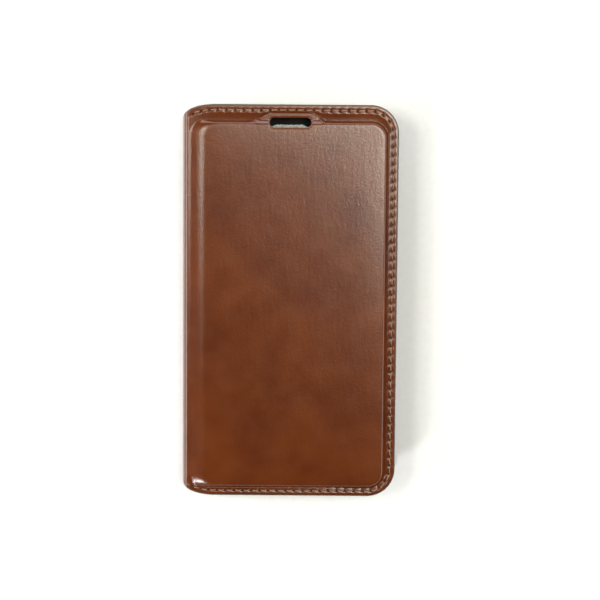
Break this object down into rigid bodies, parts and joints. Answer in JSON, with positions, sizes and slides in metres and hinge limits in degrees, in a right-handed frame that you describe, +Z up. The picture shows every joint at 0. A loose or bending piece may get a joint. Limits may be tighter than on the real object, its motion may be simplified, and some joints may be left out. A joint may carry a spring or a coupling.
{
  "type": "phone wallet case",
  "caption": "Book-style phone wallet case in glossy brown stitched leather, closed, with a padded front, an earpiece slot, card pockets and a moulded phone shell inside.",
  "frame": {"origin": "under the middle of the closed case, on the surface it rests on", "axes": "+X to the free edge with the spine at -X, +Y to the end with the earpiece slot, +Z up out of the front cover"},
  "size_m": [0.0834, 0.1526, 0.018],
  "materials": {
    "brown_leather": "glossy brown coated leather with a cloudy mottle",
    "lining": "matt brown suede-like lining",
    "card_leather": "satin brown coated leather",
    "greyboard": "pale raw board",
    "foam": "pale soft foam sheet",
    "shell": "satin dark brown flexible moulding",
    "adhesive": "double-sided adhesive film",
    "thread": "waxed brown sewing thread",
    "magnet": "plated bar magnet",
    "steel": "thin steel strip"
  },
  "bodies": {
    "back_cover": {"back_leather": "brown_leather", "back_board": "greyboard", "back_lining": "lining", "back_stitches": "thread", "shell_adhesive_pad": "adhesive", "phone_shell": "shell", "shell_keeper_upper": "steel", "shell_keeper_lower": "steel"},
    "spine": {"spine_leather": "brown_leather", "spine_board": "greyboard", "spine_lining": "lining"},
    "front_cover": {"front_leather": "brown_leather", "front_foam": "foam", "front_board": "greyboard", "front_magnet_upper": "magnet", "front_magnet_lower": "magnet", "front_lining": "lining", "front_stitches": "thread", "cash_pocket_panel": "card_leather", "card_pocket_panel_1": "card_leather", "card_pocket_panel_2": "card_leather", "card_pocket_panel_3": "card_leather", "pocket_stitches": "thread"}
  },
  "joints": [
    {"name": "spine_fold", "type": "hinge", "parent": "back_cover", "child": "spine", "pos_m": [-0.04011, 0, 0.00179], "axis": [0, -1, 0], "range_deg": [0, 180]},
    {"name": "cover_fold", "type": "hinge", "parent": "spine", "child": "front_cover", "pos_m": [-0.04011, 0, 0.01501], "axis": [0, -1, 0], "range_deg": [0, 180]}
  ]
}
